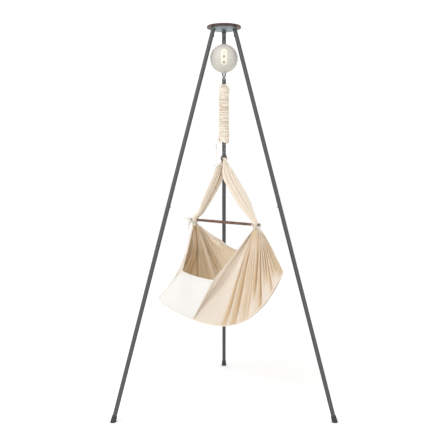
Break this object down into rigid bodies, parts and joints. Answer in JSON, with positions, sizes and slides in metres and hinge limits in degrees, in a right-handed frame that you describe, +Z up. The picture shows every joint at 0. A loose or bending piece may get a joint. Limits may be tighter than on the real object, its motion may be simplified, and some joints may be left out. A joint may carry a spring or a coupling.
{
  "type": "hanging baby cradle",
  "caption": "Hanging cloth baby cradle on a three-legged stand, with a wooden spreader bar, a covered coil spring, a swivel carabiner and a ball-shaped bounce motor.",
  "frame": {"origin": "on the floor, at the middle of the object's footprint box; the hanging axis is vertical at y = -0.16423 m", "axes": "+Z up; +X to the right seen from the control panel's side; -Y is the side the control panel faces; the spreader bar lies 45 degrees clockwise from +X seen from above"},
  "size_m": [1.1668, 1.0144, 2.05],
  "materials": {
    "walnut": "oiled",
    "hub_steel": "satin",
    "leg_paint": "satin",
    "foot_rubber": "matte",
    "screw_steel": "zinc",
    "chain_steel": "dark",
    "ball_plastic": "satin",
    "panel_plastic": "satin",
    "button_plastic": "satin",
    "light_lens": "clear",
    "chassis_steel": "zinc",
    "motor_metal": "satin",
    "gear_brass": "cut",
    "bush_bronze": "sintered",
    "gear_nylon": "moulded",
    "board_green": "lacquered",
    "battery_wrap": "shrink wrap",
    "spring_steel": "bright",
    "cover_cotton": "woven",
    "cradle_cotton": "woven",
    "panel_cotton": "woven",
    "mattress_ticking": "woven",
    "cord_cotton": "braided",
    "knob_wood": "dark"
  },
  "bodies": {
    "stand": {"top_disc": "walnut", "hub_plate": "hub_steel", "disc_screws": "screw_steel", "eye_bolt": "chain_steel", "eye_bolt_nut": "screw_steel", "leg_connectors": "motor_metal", "leg_screws": "screw_steel", "upper_leg_front_left": "leg_paint", "lower_leg_front_left": "leg_paint", "foot_cap_front_left": "foot_rubber", "upper_leg_front_right": "leg_paint", "lower_leg_front_right": "leg_paint", "foot_cap_front_right": "foot_rubber", "upper_leg_rear": "leg_paint", "lower_leg_rear": "leg_paint", "foot_cap_rear": "foot_rubber"},
    "swing_link": {"chain_link_upper": "chain_steel"},
    "motor": {"chain_link_second": "chain_steel", "motor_eye": "chain_steel", "motor_eye_nut": "screw_steel", "housing_front": "ball_plastic", "housing_rear": "ball_plastic", "housing_screws": "screw_steel", "housing_collars": "ball_plastic", "motor_chassis": "chassis_steel", "gear_motor": "motor_metal", "shaft_bushes": "bush_bronze", "circuit_board": "board_green", "battery_pack": "battery_wrap", "control_panel": "panel_plastic", "status_lights": "light_lens"},
    "upper_button": {"button_upper": "button_plastic"},
    "lower_button": {"button_lower": "button_plastic"},
    "drive": {"drive_shaft": "motor_metal", "drive_gear": "gear_nylon", "rack_pinion": "gear_brass"},
    "rotor": {"motor_pinion": "gear_brass"},
    "lift": {"lift_rack": "motor_metal", "lower_chain": "chain_steel", "spring_top_plug": "chain_steel", "spring": "spring_steel", "spring_cover": "cover_cotton"},
    "spring_foot": {"spring_bottom_plug": "chain_steel", "swivel_housing": "chain_steel"},
    "swivel": {"swivel_eye": "chain_steel", "carabiner": "chain_steel", "gate_pin": "screw_steel"},
    "gate": {"carabiner_gate": "chain_steel"},
    "cradle": {"spreader_bar": "walnut", "bar_end_caps": "knob_wood", "tie_cords": "cord_cotton", "strap_left": "cradle_cotton", "strap_right": "cradle_cotton", "end_fan_left": "cradle_cotton", "end_fan_right": "cradle_cotton", "side_panel_near": "panel_cotton", "side_panel_far": "panel_cotton", "base_sling": "cradle_cotton", "mattress": "mattress_ticking"}
  },
  "joints": [
    {"name": "swing_fore_aft", "type": "hinge", "parent": "stand", "child": "swing_link", "pos_m": [0, -0.16423, 2.0095], "axis": [-1, 0, 0], "range_deg": [-2, 2]},
    {"name": "swing_side_to_side", "type": "hinge", "parent": "swing_link", "child": "motor", "pos_m": [0, -0.16423, 1.9903], "axis": [0, 1, 0], "range_deg": [-2, 2]},
    {"name": "lift_stroke", "type": "slide", "parent": "motor", "child": "lift", "axis": [0, 0, 1], "range_m": [-0.012, 0.012]},
    {"name": "drive_gear_spin", "type": "hinge", "parent": "motor", "child": "drive", "pos_m": [0.017, -0.16423, 1.8805], "axis": [0, 1, 0], "range_deg": [-60, 60]},
    {"name": "motor_pinion_spin", "type": "hinge", "parent": "motor", "child": "rotor", "pos_m": [-0.013, -0.16423, 1.8805], "axis": [0, 1, 0], "range_deg": [-240, 240]},
    {"name": "press_upper_button", "type": "slide", "parent": "motor", "child": "upper_button", "axis": [0, 1, 0], "range_m": [0, 0.0012], "stiffness_N_per_m": 60},
    {"name": "press_lower_button", "type": "slide", "parent": "motor", "child": "lower_button", "axis": [0, 1, 0], "range_m": [0, 0.0012], "stiffness_N_per_m": 60},
    {"name": "spring_bounce", "type": "slide", "parent": "lift", "child": "spring_foot", "axis": [0, 0, 1], "range_m": [-0.16, 0.02], "stiffness_N_per_m": 600, "springref_m": 0.0434, "deforming": ["spring", "spring_cover"]},
    {"name": "swivel_turn", "type": "hinge", "parent": "spring_foot", "child": "swivel", "pos_m": [0, -0.16423, 1.4297], "axis": [0, 0, 1], "continuous": true},
    {"name": "carabiner_gate_open", "type": "hinge", "parent": "swivel", "child": "gate", "pos_m": [-0.01366, -0.1779, 1.35179], "axis": [-0.7071, 0.7071, 0], "range_deg": [0, 20], "stiffness_Nm_per_rad": 0.05, "springref_deg": -17.19},
    {"name": "cradle_rock", "type": "hinge", "parent": "swivel", "child": "cradle", "pos_m": [0, -0.16423, 1.339], "axis": [0.7071, 0.7071, 0], "range_deg": [-5, 5]}
  ],
  "couplings": [
    {"joint": "drive_gear_spin", "follows": "lift_stroke", "rad_per_m": 83.333},
    {"joint": "motor_pinion_spin", "follows": "lift_stroke", "rad_per_m": -333.33}
  ]
}
